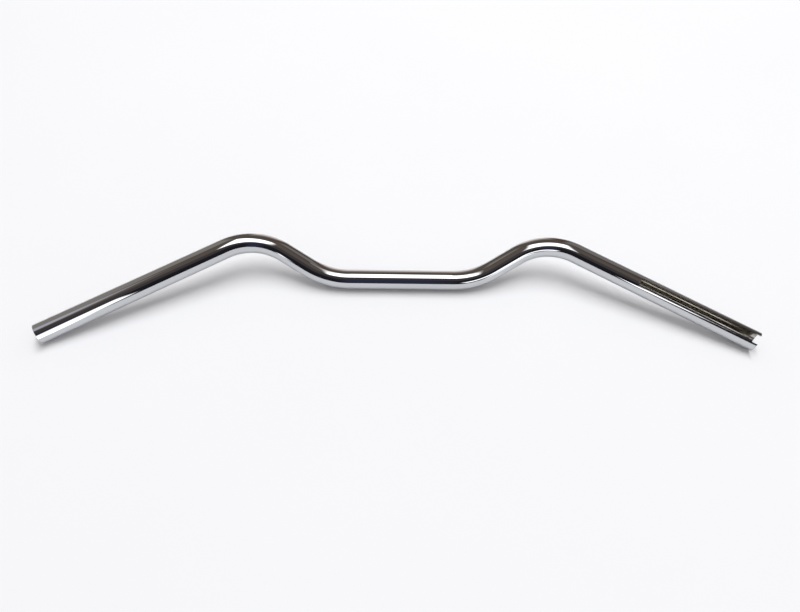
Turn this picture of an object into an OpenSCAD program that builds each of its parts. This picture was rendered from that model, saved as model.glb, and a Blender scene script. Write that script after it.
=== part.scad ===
// Bent handlebar of plain round tube, lying as it rests on a table: on its clamp section
// and on its two ends. X runs along the clamp section, Y away from the rider, Z up.
// The origin is the middle of the clamp section, on the axis of the tube.

/* [Tube] */
// Outside diameter of the tube
tube_d = 22.2; // [19:0.1:25.4]
// Thickness of the tube's wall
wall_t = 2; // [1:0.1:3]
// Chamfer on the outer and inner edges of both ends
rim_chamfer = 0.4; // [0.1:0.1:0.8]

/* [Clamp section] */
// Distance between the corners of the two inner bends
clamp_span = 167; // [150:1:200]
// Radius of the inner bends, at the axis of the tube
inner_bend_r = 90; // [50:1:100]

/* [Knees] */
// Distance between the corners of the two knees
knee_span = 330; // [320:1:400]
// How far the corners of the knees lie forward of the clamp section
knee_forward = 37; // [25:1:50]
// Radius of the knees, at the axis of the tube
knee_bend_r = 66; // [40:1:75]

/* [Grips] */
// Distance between the middles of the two ends
end_span = 753; // [650:1:860]
// How far the ends lie back from the clamp section, towards the rider
end_back = 83.5; // [60:0.5:120]
// Angle at which the grips run down to their ends
grip_droop = 7.6; // [6:0.1:10]

/* [Throttle slot] */
// Length of the slot, from the end of the right grip
slot_l = 133; // [60:1:160]
// Width of the slot
slot_w = 10; // [6:0.5:12]
// Angle of the middle of the slot from the top of the grip towards the rider
slot_turn = 31; // [0:1:90]

/* [Hidden] */
$fn = 96;

tube_r = tube_d / 2;
bore_r = tube_r - wall_t;
// How far a cutting shape runs past the face that it cuts
cut_past = 1;
// Bending draws the tube in by this much in radius, and the straights ease down past that
// over this length, so that each bend's ends, which run on by its lap, seat inside them
bend_draw = 0.02;
ease_l = 1;
bend_lap = 1.2;

// The lowest line of each end touches the table, one tube radius under the clamp section
end_z = tube_r * cos(grip_droop) - rim_chamfer * sin(grip_droop) - tube_r;
grip_plan = norm([end_span / 2 - knee_span / 2, end_back + knee_forward]);
knee_z = end_z + grip_plan * tan(grip_droop);

// Corners of the axis on the right, where its straight stretches would meet
inner_corner = [clamp_span / 2, 0, 0];
knee_corner = [knee_span / 2, knee_forward, knee_z];
end_middle = [end_span / 2, -end_back, end_z];

function unit(v) = v / norm(v);
riser = knee_corner - inner_corner;
grip = end_middle - knee_corner;
riser_dir = unit(riser);
grip_dir = unit(grip);

// The inner bend turns the axis from X to the riser, in a plane rolled about X
inner_angle = acos(riser_dir.x);
inner_roll = atan2(riser_dir.z, riser_dir.y);
// Across the riser: out of the inner bend's plane, and in that plane
riser_normal = [0, -sin(inner_roll), cos(inner_roll)];
riser_side = cross(riser_normal, riser_dir);

// The knee turns it from the riser to the grip, in a plane rolled about the riser
knee_angle = acos(riser_dir * grip_dir);
knee_roll = atan2(grip_dir * riser_normal, grip_dir * riser_side);

// Straight stretches, less what the bends take from them
inner_reach = inner_bend_r * tan(inner_angle / 2);
knee_reach = knee_bend_r * tan(knee_angle / 2);
clamp_l = clamp_span - 2 * inner_reach;
riser_l = norm(riser) - inner_reach - knee_reach;
grip_l = norm(grip) - knee_reach;
grip_turn = atan2(grip_dir.y, grip_dir.x);

// Turned rod along X, from an outline that goes round its half section as [radius, distance]
module turned(outline) {
    rotate([0, 90, 0]) rotate_extrude() polygon(outline);
}

// Radius of a straight where it meets a bend
function eased(r) = r - 2 * bend_draw;

// Straight round rod of radius r along X, eased down to a bend at both ends
module straight(r, l) {
    turned([[0, 0], [eased(r), 0], [r, ease_l], [r, l - ease_l], [eased(r), l], [0, l]]);
}

// Moves its children past a straight stretch
module past_straight(l) {
    translate([l, 0, 0]) children();
}

// Moves and turns its children past an arc that turns from X towards Y
module past_arc(bend_r, angle) {
    translate([0, bend_r, 0])
        rotate([0, 0, angle])
            translate([0, -bend_r, 0]) children();
}

// Round rod of radius r that leaves the origin along X and turns towards Y
module arc(r, bend_r, angle) {
    lap_angle = bend_lap / bend_r * 180 / PI;
    translate([0, bend_r, 0])
        rotate([0, 0, -90 - lap_angle])
            rotate_extrude(angle = angle + 2 * lap_angle)
                translate([bend_r, 0]) circle(r = r - bend_draw);
}

// Rod of the grip, eased down to the knee: from its rim on, and past its end, its radius
// changes by flare
module grip_rod(r, flare, past) {
    rim = rim_chamfer + past;
    turned([
        [0, 0], [eased(r), 0], [r, ease_l], [r, grip_l - rim_chamfer],
        [r + flare * rim, grip_l + past], [0, grip_l + past]
    ]);
}

// What follows the clamp section on the right: the inner bend, riser, knee and grip
module side_rod(r, flare, past) {
    rotate([inner_roll, 0, 0]) past_straight(clamp_l / 2) {
        arc(r, inner_bend_r, inner_angle);
        past_arc(inner_bend_r, inner_angle) {
            straight(r, riser_l);
            rotate([knee_roll, 0, 0]) past_straight(riser_l) {
                arc(r, knee_bend_r, knee_angle);
                past_arc(knee_bend_r, knee_angle) grip_rod(r, flare, past);
            }
        }
    }
}

// Whole bar as a solid rod; flare is -1 where its ends narrow and 1 where they widen
module bar_rod(r, flare, past = 0) {
    past_straight(-clamp_l / 2) straight(r, clamp_l);
    side_rod(r, flare, past);
    mirror([1, 0, 0]) side_rod(r, flare, past);
}

// Square-ended cutter through one wall of the right grip, open at the end of the tube
module throttle_slot() {
    translate(end_middle) rotate([slot_turn, grip_droop, grip_turn])
        translate([-slot_l, -slot_w / 2, 0])
            cube([slot_l + cut_past, slot_w, tube_r + cut_past]);
}

module handlebar() {
    color([0.78, 0.79, 0.81])
    difference() {
        bar_rod(tube_r, -1);
        bar_rod(bore_r, 1, cut_past);
        throttle_slot();
    }
}

handlebar();
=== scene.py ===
import math

import bpy
import numpy as np
from mathutils import Matrix, Vector


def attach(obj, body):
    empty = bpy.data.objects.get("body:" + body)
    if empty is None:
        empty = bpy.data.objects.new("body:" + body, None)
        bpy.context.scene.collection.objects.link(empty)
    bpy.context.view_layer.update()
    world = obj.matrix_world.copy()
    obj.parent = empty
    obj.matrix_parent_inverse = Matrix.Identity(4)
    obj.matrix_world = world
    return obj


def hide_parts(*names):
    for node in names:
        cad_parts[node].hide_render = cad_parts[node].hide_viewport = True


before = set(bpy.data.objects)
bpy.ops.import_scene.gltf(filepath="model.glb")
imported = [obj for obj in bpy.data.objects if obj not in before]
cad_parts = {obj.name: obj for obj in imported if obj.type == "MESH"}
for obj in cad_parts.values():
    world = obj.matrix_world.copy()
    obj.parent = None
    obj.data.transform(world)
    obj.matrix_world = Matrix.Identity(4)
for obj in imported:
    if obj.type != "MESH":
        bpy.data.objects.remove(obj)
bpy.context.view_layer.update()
print("frame loaded:", sorted(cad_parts))

mm = 0.001


# The bar's surface: the axis is laid out from its corners and bends, and the wall goes along it.

barShape = {
    "tubeDiameter": 22.2,  # mm, as are all lengths here
    "wallThickness": 2.0,
    "rimChamfer": 0.4,
    "clampSpan": 167.0,  # between the corners of the inner bends
    "innerBendRadius": 90.0,
    "kneeSpan": 330.0,
    "kneeForward": 37.0,
    "kneeBendRadius": 66.0,
    "endSpan": 753.0,
    "endBack": 83.5,
    "gripDroop": 7.6,  # degrees
    "slotLength": 133.0,
    "slotWidth": 10.0,
    "slotTurn": 31.0,  # degrees from the top of the grip towards the rider
    "aroundCount": 120,  # quads round the tube
    "slotCount": 12,  # of which this many lie over the slot
    "bendStep": 1.2,  # mm between rings in a bend
    "straightStep": 10.0,
    "weldDigits": 5,  # points that are the same to this many decimals of a mm become one
}


# The vector over its length.
def unitOf(v):
    return v / np.linalg.norm(v)


# The right half's corners: middle, inner bend, knee, end. Each end's lowest line touches the table.
def axisCorners(shape):
    r, droop = shape["tubeDiameter"] / 2, math.radians(shape["gripDroop"])
    endZ = r * math.cos(droop) - shape["rimChamfer"] * math.sin(droop) - r
    sideways = shape["endSpan"] / 2 - shape["kneeSpan"] / 2
    plan = math.hypot(sideways, shape["endBack"] + shape["kneeForward"])
    return np.array([
        [0, 0, 0],
        [shape["clampSpan"] / 2, 0, 0],
        [shape["kneeSpan"] / 2, shape["kneeForward"], endZ + plan * math.tan(droop)],
        [shape["endSpan"] / 2, -shape["endBack"], endZ],
    ])


# Points start + (end - start) t at even t, all with the same tangent.
def lineRings(start, end, step):
    count = max(2, int(np.linalg.norm(end - start) / step) + 1)
    t = np.linspace(0, 1, count)[:, None]
    return start + (end - start) * t, np.repeat(unitOf(end - start)[None], count, 0)


# Arc that touches both legs of a corner: start + r sin(q) legIn + r (1 - cos(q)) inward,
# with q going from 0 to the angle between the legs.
def bendRings(before, corner, after, radius, step):
    legIn, legOut = unitOf(corner - before), unitOf(after - corner)
    turn = math.acos(float(legIn @ legOut))
    inward = unitOf(legOut - (legOut @ legIn) * legIn)
    start = corner - legIn * radius * math.tan(turn / 2)
    q = np.linspace(0, turn, max(3, int(radius * turn / step) + 1))[:, None]
    points = start + radius * (np.sin(q) * legIn + (1 - np.cos(q)) * inward)
    return points, np.cos(q) * legIn + np.sin(q) * inward


# Centres and tangents from the bar's middle to the slot's start, and from there to the right end;
# where two stretches meet, one point stays.
def halfAxis(shape):
    middle, inner, knee, end = axisCorners(shape)
    innerBend = bendRings(middle, inner, knee, shape["innerBendRadius"], shape["bendStep"])
    kneeBend = bendRings(inner, knee, end, shape["kneeBendRadius"], shape["bendStep"])
    slotStart = end - unitOf(end - knee) * shape["slotLength"]
    stretches = [
        lineRings(middle, innerBend[0][0], shape["straightStep"]),
        innerBend,
        lineRings(innerBend[0][-1], kneeBend[0][0], shape["straightStep"]),
        kneeBend,
        lineRings(kneeBend[0][-1], slotStart, shape["straightStep"]),
    ]
    points = np.vstack([stretches[0][0]] + [s[0][1:] for s in stretches[1:]])
    tangents = np.vstack([stretches[0][1]] + [s[1][1:] for s in stretches[1:]])
    return (points, tangents), lineRings(slotStart, end, shape["straightStep"])


# Rings of the wall from its outer start, over the rim at the last point, back to its inner start;
# outward is the axis direction there. Gives centres, radii and which rings are on the inner wall.
def wallRings(points, outward, shape):
    r = shape["tubeDiameter"] / 2
    b, c = r - shape["wallThickness"], shape["rimChamfer"]
    body, end = points[:-1], points[-1]
    brim = end - c * outward  # where the chamfers begin
    centres = np.vstack([body, brim, end, end, brim, body[::-1]])
    n = len(body) + 1
    radii = np.concatenate([np.full(n, r), [r - c, b + c], np.full(n, b)])
    return centres, radii, np.arange(2 * n + 2) > n


# Clock angles of each ring's points, from the top towards the rider. The slot's flat sides are
# slotWidth apart, so at a radius they are at slotTurn -+ asin(slotWidth / 2 / radius): the kept
# wall goes the long way round between them, and the wall over the slot goes across.
def wallClocks(radii, shape, share, kept):
    middle = math.radians(shape["slotTurn"])
    half = np.arcsin(shape["slotWidth"] / 2 / radii)[:, None]
    if kept:
        return middle + half + (2 * math.pi - 2 * half) * share
    return middle - half + 2 * half * share


# point(i, j) = centre(i) + radius(i) (cos(clock(i, j)) up(i) + sin(clock(i, j)) side(i)), where
# side is tangent x Z, which points to the rider, and up is side x tangent.
def ringGrid(centres, tangents, radii, clocks):
    side = np.cross(tangents, [0, 0, 1.0])
    side /= np.linalg.norm(side, axis=1)[:, None]
    up = np.cross(side, tangents)
    clocks = clocks[..., None]
    ray = np.cos(clocks) * up[:, None] + np.sin(clocks) * side[:, None]
    return centres[:, None] + radii[:, None, None] * ray


# Quads between neighbouring rows and columns of a grid, turned over where flip says so.
def gridQuads(rows, columns, flip):
    i, j = np.meshgrid(np.arange(rows - 1), np.arange(columns - 1), indexing="ij")
    a = i * columns + j
    quads = np.stack([a, a + 1, a + columns + 1, a + columns], -1).reshape(-1, 4)
    return quads[:, ::-1] if flip else quads


# Outer wall, rims, inner wall and slot as one closed mesh in metres: its points, its quads and
# which quads are the inner wall.
def barMesh(shape):
    (rightPoints, rightTangents), (slotPoints, slotTangents) = halfAxis(shape)
    mirror = np.array([-1, 1, 1])
    gripEnd = slotPoints[1:]
    # the left half is the right one mirrored, with its tangents still pointing right
    left = np.vstack([rightPoints, gripEnd])[::-1] * mirror
    leftTangents = -np.vstack([rightTangents, slotTangents[1:]])[::-1] * mirror
    closedPoints = np.vstack([left[:-1], rightPoints])
    closedTangents = np.vstack([leftTangents[:-1], rightTangents])
    keptShare = np.linspace(0, 1, shape["aroundCount"] - shape["slotCount"] + 1)[None]
    slotShare = np.linspace(0, 1, shape["slotCount"] + 1)[None]
    parts = []

    # Keeps a grid's points and quads; a quad is inner where both of its rings are.
    def add(grid, flip, inner=None):
        quads = gridQuads(*grid.shape[:2], flip)
        if inner is None:
            inner = np.zeros(grid.shape[0], bool)
        rows = np.repeat(inner[:-1] & inner[1:], grid.shape[1] - 1)
        parts.append((grid.reshape(-1, 3), quads, rows))

    # whole rings, from the slot's start to the left rim and back inside
    centres, radii, inner = wallRings(closedPoints[::-1], -closedTangents[0], shape)
    n = len(closedPoints) - 1
    turns = closedTangents[::-1]
    rimTurns = np.repeat(turns[-1:], len(centres) - 2 * n, 0)  # those of the rim are all the same
    turns = np.vstack([turns[:n], rimTurns, turns[:n][::-1]])
    over = ringGrid(centres, turns, radii, wallClocks(radii, shape, slotShare, False))
    around = ringGrid(centres, turns, radii, wallClocks(radii, shape, keptShare, True))
    add(around, True, inner)
    add(over, True, inner)

    # the slotted length, whose rings are open
    centres, radii, inner = wallRings(slotPoints, slotTangents[0], shape)
    turns = np.repeat(slotTangents[:1], len(centres), 0)
    slotted = ringGrid(centres, turns, radii, wallClocks(radii, shape, keptShare, True))
    add(slotted, False, inner)
    half = len(centres) // 2
    for column, flip in ((0, True), (-1, False)):  # the slot's flat sides
        add(np.stack([slotted[:half, column], slotted[half:, column][::-1]], 1), flip)
    add(np.stack([over[0], over[-1]]), False)  # the slot's square end

    starts = np.cumsum([0] + [len(p[0]) for p in parts])
    points = np.vstack([p[0] for p in parts])
    quads = np.vstack([p[1] + start for p, start in zip(parts, starts)])
    onInner = np.concatenate([p[2] for p in parts])
    rounded = np.round(points, shape["weldDigits"])
    _, first, same = np.unique(rounded, axis=0, return_index=True, return_inverse=True)
    return points[first] * mm, same.reshape(-1)[quads], onInner


crispAngle = 30.0  # degrees; an edge that turns more isn't smoothed, such as a rim's


# Object from points in metres and quads, with a material index for each quad.
def newMesh(name, points, quads, materials, slots):
    mesh = bpy.data.meshes.new(name)
    mesh.from_pydata(points.tolist(), [], quads.tolist())
    for material in materials:
        mesh.materials.append(material)
    mesh.polygons.foreach_set("material_index", slots.astype(np.int32))
    mesh.polygons.foreach_set("use_smooth", np.ones(len(quads), bool))
    mesh.set_sharp_from_angle(angle=math.radians(crispAngle))
    mesh.update()
    piece = bpy.data.objects.new(name, mesh)
    bpy.context.scene.collection.objects.link(piece)
    return piece


# Short ways to lay out nodes.

# Node with its settings; each input is another node's output or a plain value.
def addNode(tree, kind, inputs=(), **settings):
    node = tree.nodes.new(kind)
    for key, value in settings.items():
        setattr(node, key, value)
    for key, value in dict(inputs).items():
        if isinstance(value, bpy.types.NodeSocket):
            tree.links.new(value, node.inputs[key])
        else:
            node.inputs[key].default_value = value
    return node


# One step of arithmetic on a and b.
def sums(tree, operation, a, b=0.0):
    return addNode(tree, "ShaderNodeMath", {0: a, 1: b}, operation=operation).outputs[0]


# Smooth step of value from low to high.
def stepped(tree, value, low, high):
    node = addNode(tree, "ShaderNodeMapRange", {"Value": value, "From Min": low, "From Max": high},
                   interpolation_type="SMOOTHSTEP")
    return node.outputs["Result"]


# Colour a (1 - factor) + b factor.
def mixed(tree, factor, a, b):
    node = addNode(tree, "ShaderNodeMix", {0: factor, 6: a, 7: b}, data_type="RGBA")
    return node.outputs[2]


# Noise from 0 to 1 at a place; others are further inputs by name.
def noise(tree, place, scale, detail, **others):
    inputs = {"Vector": place, "Scale": scale, "Detail": detail, **others}
    return addNode(tree, "ShaderNodeTexNoise", inputs).outputs["Fac"]


# Material with an empty tree, and the tree.
def newMaterial(name):
    material = bpy.data.materials.new(name)
    material.use_nodes = True
    material.node_tree.nodes.clear()
    return material, material.node_tree


# Outside: bright chrome, a mirror with a few wiped smears, a very slight waviness and a fine grain.
# Inside: plating over drawn steel, duller and browner, with stains and a coarser grain. The patches
# are the smears or stains. Each bump is [scale, detail, height in metres].

chromeLook = {
    "colour": (0.56, 0.575, 0.595, 1),
    "roughness": 0.02,
    "patchColour": (0.555, 0.56, 0.57, 1),
    "patchRoughness": 0.05,
    "patchScale": 38.0,
    "patchDetail": 5.0,
    "patchRaggedness": 0.6,
    "patchSwirl": 0.8,
    "patchEdges": (0.56, 0.78),  # noise at which a patch begins and at which it is full
    "bumps": {"wave": [22.0, 1.0, 0.000006], "grain": [900.0, 2.0, 0.0000008]},
}

insideLook = {
    "colour": (0.50, 0.485, 0.445, 1),
    "roughness": 0.11,
    "patchColour": (0.42, 0.40, 0.355, 1),
    "patchRoughness": 0.2,
    "patchScale": 60.0,
    "patchDetail": 6.0,
    "patchRaggedness": 0.65,
    "patchSwirl": 0.0,
    "patchEdges": (0.4, 0.68),
    "bumps": {"grain": [260.0, 3.0, 0.000002]},
}


# Metal whose colour and roughness go from plain to patch by a stepped noise, with its normal tilted
# by the slope of each bump in turn.
def metalMaterial(name, look):
    material, tree = newMaterial(name)
    place = addNode(tree, "ShaderNodeTexCoord").outputs["Object"]
    cloud = noise(tree, place, look["patchScale"], look["patchDetail"],
                  Roughness=look["patchRaggedness"], Distortion=look["patchSwirl"])
    patch = stepped(tree, cloud, *look["patchEdges"])
    rough = addNode(tree, "ShaderNodeMapRange", {"Value": patch, "To Min": look["roughness"],
                                                 "To Max": look["patchRoughness"]})
    normal = {}
    for scale, detail, height in look["bumps"].values():
        relief = noise(tree, place, scale, detail)
        bump = addNode(tree, "ShaderNodeBump", {"Height": relief, "Distance": height,
                                                "Strength": 1.0, **normal})
        normal = {"Normal": bump.outputs["Normal"]}
    shader = addNode(tree, "ShaderNodeBsdfPrincipled", {
        "Base Color": mixed(tree, patch, look["colour"], look["patchColour"]),
        "Metallic": 1.0,
        "Roughness": rough.outputs["Result"],
        **normal,
    })
    addNode(tree, "ShaderNodeOutputMaterial", {"Surface": shader.outputs[0]})
    return material


chrome = metalMaterial("brightChrome", chromeLook)
inside = metalMaterial("insideSteel", insideLook)
points, quads, onInner = barMesh(barShape)
bar = newMesh("chromedBar", points, quads, [chrome, inside], onInner)
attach(bar, "root")
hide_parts("handlebar")
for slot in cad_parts["handlebar"].material_slots:
    slot.material = chrome
print("bar:", len(points), "points,", len(quads), "quads")


# Table: a plain pale top, a little cool, with the slightest unevenness.

tableLook = {
    "height": -barShape["tubeDiameter"] / 2 * mm,
    "halfSize": 5.0,  # metres
    "colour": (0.90, 0.91, 0.93, 1),
    "patchColour": (0.88, 0.885, 0.90, 1),
    "patchScale": 3.0,
    "patchDetail": 3.0,
    "roughness": 0.7,
    "specular": 0.0,
}


# Matt colour that drifts between two tones by a soft noise.
def tableMaterial(look):
    material, tree = newMaterial("paleTable")
    place = addNode(tree, "ShaderNodeTexCoord").outputs["Object"]
    cloud = noise(tree, place, look["patchScale"], look["patchDetail"])
    shader = addNode(tree, "ShaderNodeBsdfPrincipled", {
        "Base Color": mixed(tree, cloud, look["colour"], look["patchColour"]),
        "Roughness": look["roughness"],
        "Specular IOR Level": look["specular"],
    })
    addNode(tree, "ShaderNodeOutputMaterial", {"Surface": shader.outputs[0]})
    return material


# One square at the height of the table.
def makeTable(look):
    h, z = look["halfSize"], look["height"]
    corners = np.array([[-h, -h, z], [h, -h, z], [h, h, z], [-h, h, z]])
    square = np.array([[0, 1, 2, 3]])
    table = newMesh("table", corners, square, [tableMaterial(look)], np.zeros(1))


makeTable(tableLook)
print("table laid")


# Room: what the chrome mirrors, by direction. Each surface is [compass angle from straight ahead to
# the right, half width, lowest and highest angle above the table, soft edge, colour], in degrees;
# later ones lie over earlier ones. The table is lit by a plain dome instead, so the room doesn't
# tint it, and the camera sees a pale backdrop above it.

roomLook = {
    "wallColour": (0.105, 0.090, 0.070, 1),
    "level": 1.12,
    "domeColour": (0.455, 0.435, 0.425, 1),
    "backdropColour": (0.88, 0.885, 0.90, 1),
    "surfaces": {
        "ceiling": [0, 180, 66, 95, 6, (0.13, 0.105, 0.09, 1)],
        "rightWall": [98, 52, 20, 72, 8, (0.085, 0.068, 0.06, 1)],
        "farRightWall": [36, 12, -10, 60, 5, (0.24, 0.215, 0.205, 1)],
        "farCurtain": [17, 8, 12, 60, 3, (0.12, 0.08, 0.065, 1)],
        "farWall": [1, 12, 12, 40, 5, (0.27, 0.215, 0.19, 1)],
        "farOpening": [1, 10, -20, 19, 4, (0.84, 0.74, 0.70, 1)],
        "farLeftCurtain": [342, 8, 10, 60, 4, (0.13, 0.105, 0.085, 1)],
        "leftWall": [308, 24, -10, 62, 6, (0.30, 0.27, 0.245, 1)],
        "leftWindow": [262, 26, 47, 72, 6, (0.55, 0.55, 0.60, 1)],
        "darkBehind": [182, 36, -2, 44, 6, (0.016, 0.015, 0.019, 1)],
        "greyBehind": [182, 36, 44, 66, 6, (0.065, 0.055, 0.055, 1)],
        "navyCoat": [180, 7, -2, 44, 4, (0.032, 0.034, 0.064, 1)],
    },
}


# 1 where the direction lies within half of the compass angle middle and between two angles above
# the table: the compass distance is the arccosine of (x sin(middle) + y cos(middle)) /
# sqrt(1 - z z), whose divisor is kept above 0 straight up.
def surfaceMask(tree, xyz, middle, half, lowest, highest, soft):
    x, y, z = xyz[:3]
    turn, leastSquare = math.radians(middle), 1e-6
    square = sums(tree, "SUBTRACT", 1.0, sums(tree, "MULTIPLY", z, z))
    divisor = sums(tree, "SQRT", sums(tree, "MAXIMUM", square, leastSquare))
    along = sums(tree, "ADD", sums(tree, "MULTIPLY", x, math.sin(turn)),
                 sums(tree, "MULTIPLY", y, math.cos(turn)))
    ratio = sums(tree, "MAXIMUM", sums(tree, "DIVIDE", along, divisor), -1.0)
    apart = sums(tree, "DEGREES", sums(tree, "ARCCOSINE", sums(tree, "MINIMUM", ratio, 1.0)))
    rise = sums(tree, "DEGREES", sums(tree, "ARCSINE", z))
    across = stepped(tree, apart, half + soft, half - soft)
    upright = sums(tree, "MULTIPLY", stepped(tree, rise, lowest - soft, lowest + soft),
                   stepped(tree, rise, highest + soft, highest - soft))
    return sums(tree, "MULTIPLY", across, upright)


# The wall's colour with each surface laid over it, shown to mirror rays; the camera sees the plain
# backdrop and all other rays the dome.
def makeRoom(look):
    world = bpy.data.worlds.new("room")
    world.use_nodes = True
    bpy.context.scene.world = world
    tree = world.node_tree
    tree.nodes.clear()
    direction = addNode(tree, "ShaderNodeTexCoord").outputs["Generated"]
    xyz = addNode(tree, "ShaderNodeSeparateXYZ", {0: direction}).outputs
    colour = look["wallColour"]
    for middle, half, lowest, highest, soft, tone in look["surfaces"].values():
        mask = surfaceMask(tree, xyz, middle, half, lowest, highest, soft)
        colour = mixed(tree, mask, colour, tone)
    room = addNode(tree, "ShaderNodeBackground", {"Color": colour, "Strength": look["level"]})
    dome = addNode(tree, "ShaderNodeBackground", {"Color": look["domeColour"]})
    backdrop = addNode(tree, "ShaderNodeBackground", {"Color": look["backdropColour"]})
    ray = addNode(tree, "ShaderNodeLightPath").outputs
    plain = addNode(tree, "ShaderNodeMixShader", {0: ray["Is Camera Ray"], 1: dome.outputs[0],
                                                  2: backdrop.outputs[0]})
    seen = addNode(tree, "ShaderNodeMixShader", {0: ray["Is Glossy Ray"], 1: plain.outputs[0],
                                                 2: room.outputs[0]})
    addNode(tree, "ShaderNodeOutputWorld", {"Surface": seen.outputs[0]})


makeRoom(roomLook)


# Soft boxes that only the chrome mirrors: low ones over the clamp section, knees and slot, and
# cards on the rider's side. Each is [middle x, middle y or z, turn in degrees, near edge, far edge,
# left edge at near and at far, right edge at near and at far, soft edge, level], in mm.

boxLook = {
    "overHeight": 120.0,
    "over": {
        "overClamp": [-7.7, 3.4, -0.1, -51, 36, -77.4, -57.0, 102.4, 75.0, 1.6, 2.3],
        "overLeftKnee": [-157.8, 5.9, -20.3, -36, 25, -29.0, -47.6, 18.1, 19.0, 2.6, 2.2],
        "overRightKnee": [157.0, 20.2, -16.2, -45, 15, 1.2, -28.7, 40.5, 36.8, 2.8, 2.2],
        "overSlot": [330, -92, -31.6, -22, 22, -66, -66, 66, 66, 3.0, 2.2],
    },
    "riderDistance": {"leftCard": 170.0, "rightCard": 420.0, "gripCard": 289.0},
    "rider": {
        "leftCard": [0, 0, 32.9, 166, 238, -323, -323, -170, -170, 5.0, 1.7],
        "rightCard": [0, 0, -32.8, 166, 380, 253, 253, 420, 420, 15.0, 1.2],
        "gripCard": [0, 0, 16.5, 2, 58, 152, 142, 372, 372, 4.0, 1.8],
    },
    "fadeReach": 2.0,  # soft edges on either side of an edge, over which it fades
    "lampReach": 3.0,  # soft edges past the box that its lamp covers
    "colour": (1.0, 0.985, 0.985),
}

flat, standing = 1, 2  # ways a box lies: the axis, y or z, along which it goes from near to far
wattsPerArea = 4.0  # for a square metre of an area lamp to show a radiance of 1


# Level times the smooth steps over the four edges of a turned quadrilateral, at the lit point's
# place.
def boxMask(tree, place, way, box, fadeReach):
    a, b, turn, near, far, left0, left1, right0, right1, soft, level = box
    c, s = math.cos(math.radians(turn)), math.sin(math.radians(turn))
    xyz = addNode(tree, "ShaderNodeSeparateXYZ", {0: place}).outputs
    p = sums(tree, "SUBTRACT", sums(tree, "MULTIPLY", xyz[0], 1 / mm), a)
    q = sums(tree, "SUBTRACT", sums(tree, "MULTIPLY", xyz[way], 1 / mm), b)
    across = sums(tree, "ADD", sums(tree, "MULTIPLY", p, c), sums(tree, "MULTIPLY", q, s))
    along = sums(tree, "SUBTRACT", sums(tree, "MULTIPLY", q, c), sums(tree, "MULTIPLY", p, s))
    share = sums(tree, "DIVIDE", sums(tree, "SUBTRACT", along, near), far - near)
    left = sums(tree, "ADD", sums(tree, "MULTIPLY", share, left1 - left0), left0)
    right = sums(tree, "ADD", sums(tree, "MULTIPLY", share, right1 - right0), right0)
    fade = fadeReach * soft
    mask = level
    for value in (sums(tree, "SUBTRACT", across, left), sums(tree, "SUBTRACT", right, across),
                  sums(tree, "SUBTRACT", along, near), sums(tree, "SUBTRACT", far, along)):
        mask = sums(tree, "MULTIPLY", stepped(tree, value, -fade, fade), mask)
    return mask


# Lamp facing its -Z with an even radiance of 1 over its whole face, times its nodes' strength.
def makeLamp(name, place, size, turn=(0, 0, 0)):
    lamp = bpy.data.lights.new(name, "AREA")
    lamp.shape, lamp.size, lamp.size_y = "RECTANGLE", size[0] * mm, size[1] * mm
    lamp.energy = wattsPerArea * lamp.size * lamp.size_y
    piece = bpy.data.objects.new(name, lamp)
    piece.location = [v * mm for v in place]
    piece.rotation_euler = turn
    piece.visible_camera = False
    bpy.context.scene.collection.objects.link(piece)
    return lamp, piece


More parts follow.
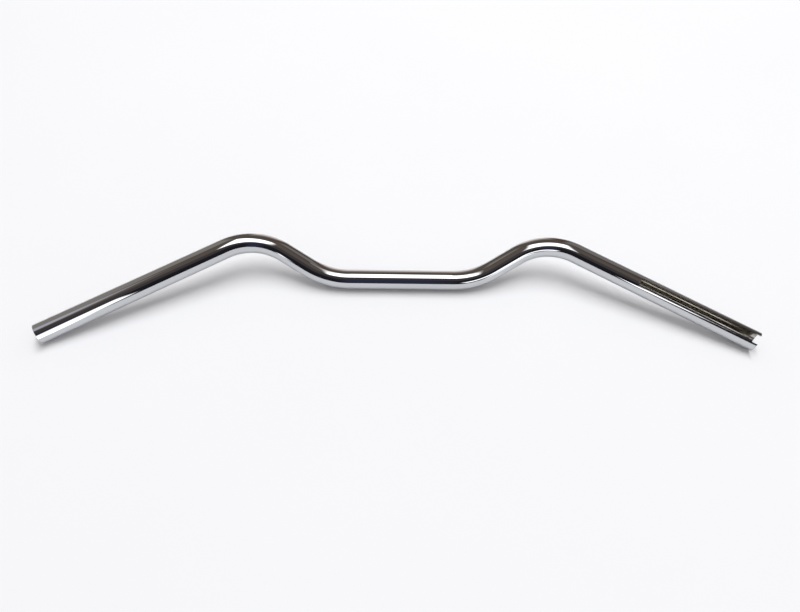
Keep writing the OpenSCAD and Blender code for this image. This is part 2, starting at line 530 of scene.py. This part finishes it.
# Lamp at an offset above the table or towards the rider, which holds the box's turned corners.
def makeBox(name, box, way, offset, look):
    a, b, turn, near, far, left0, left1, right0, right1, soft, _ = box
    c, s = math.cos(math.radians(turn)), math.sin(math.radians(turn))
    x, y = np.array([[left0, near], [left1, far], [right0, near], [right1, far]]).T
    corners = np.stack([x * c - y * s + a, x * s + y * c + b], 1)
    spare = look["lampReach"] * soft
    low, high = corners.min(0) - spare, corners.max(0) + spare
    middle = (low + high) / 2
    if way == flat:
        lamp, piece = makeLamp(name, (middle[0], middle[1], offset), high - low)
    else:
        upright = (math.pi / 2, 0, 0)
        lamp, piece = makeLamp(name, (middle[0], -offset, middle[1]), high - low, upright)
    piece.visible_diffuse = False
    lamp.color = look["colour"]
    lamp.use_nodes = True
    tree = lamp.node_tree
    tree.nodes.clear()
    place = addNode(tree, "ShaderNodeNewGeometry").outputs["Position"]
    strength = boxMask(tree, place, way, box, look["fadeReach"])
    glow = addNode(tree, "ShaderNodeEmission", {"Strength": strength})
    addNode(tree, "ShaderNodeOutputLight", {"Surface": glow.outputs[0]})


for name, box in boxLook["over"].items():
    makeBox(name, box, flat, boxLook["overHeight"], boxLook)
for name, box in boxLook["rider"].items():
    makeBox(name, box, standing, boxLook["riderDistance"][name], boxLook)


# Long soft light overhead, which lights the table and casts the bar's shadow. The photograph's
# reflections and shadow gave its size and place, but the chrome mirrors the low boxes instead.

keyLook = {
    "place": (319.0, 1063.0, 5313.0),  # mm
    "size": (1560.0, 4740.0),  # mm
    "radiance": 7.4,
    "colour": (0.965, 0.98, 1.0),
}


# Lamp of even radiance that mirror rays don't see.
def makeKey(look):
    lamp, piece = makeLamp("overheadLight", look["place"], look["size"])
    lamp.energy *= look["radiance"]
    lamp.color = look["colour"]
    piece.visible_glossy = False


makeKey(keyLook)
print("room and lights set")


# Camera where the photograph was taken from: its axes and place were solved from the bar's two
# outlines.

cameraPlace = {
    "eye": (-15.34, -468.88, 498.43),  # mm
    "right": (0.999705, -0.005311, 0.023701),
    "down": (0.011446, -0.757635, -0.652580),
    "forward": (0.021423, 0.652659, -0.757350),
    "focalPixels": 600.1,
    "pictureWidth": 800,  # pixels
    "sensorWidth": 36.0,  # mm
    "clip": (0.01, 50),  # metres
}


# Camera whose axes are right, up and back; its lens is focalPixels times sensor width over picture
# width.
def makeCamera(place):
    data = bpy.data.cameras.new("camera")
    data.sensor_fit, data.sensor_width = "HORIZONTAL", place["sensorWidth"]
    data.lens = place["focalPixels"] * place["sensorWidth"] / place["pictureWidth"]
    data.clip_start, data.clip_end = place["clip"]
    camera = bpy.data.objects.new("camera", data)
    up, back = [-c for c in place["down"]], [-c for c in place["forward"]]
    turn = Matrix([place["right"], up, back]).transposed()
    camera.matrix_world = Matrix.Translation(Vector(place["eye"]) * mm) @ turn.to_4x4()
    bpy.context.scene.collection.objects.link(camera)
    bpy.context.scene.camera = camera


makeCamera(cameraPlace)
bpy.context.scene.view_settings.view_transform = "Standard"
print("camera set")
